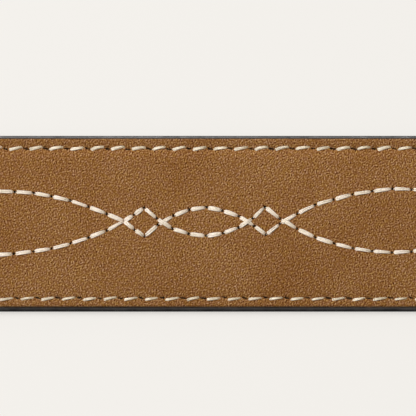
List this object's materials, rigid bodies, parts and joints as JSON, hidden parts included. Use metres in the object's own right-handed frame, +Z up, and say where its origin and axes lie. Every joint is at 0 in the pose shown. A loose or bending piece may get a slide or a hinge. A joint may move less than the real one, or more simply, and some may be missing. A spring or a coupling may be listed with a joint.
{
  "type": "stitched suede belt",
  "caption": "Suede waist belt laid out flat, black painted edges, cream edge and lens-and-diamond stitching, plain frame buckle, keeper and round tip with prong holes.",
  "frame": {"origin": "on the surface that the belt lies on, under the middle of the whole belt", "axes": "+X along the strap towards its tip, with the buckle at -X; +Y across the strap; +Z up, out of the suede face"},
  "size_m": [1.0025, 0.049, 0.0125],
  "materials": {
    "suede": "napped tan suede",
    "painted_leather": "black leather with satin painted edges",
    "nickel": "satin nickel plate",
    "thread": "waxed cream thread"
  },
  "bodies": {
    "root": {"strap_face": "suede", "strap_face_turn": "suede", "strap_backing": "painted_leather", "strap_backing_turn": "painted_leather", "keeper": "suede", "buckle": "nickel"}
  },
  "joints": []
}
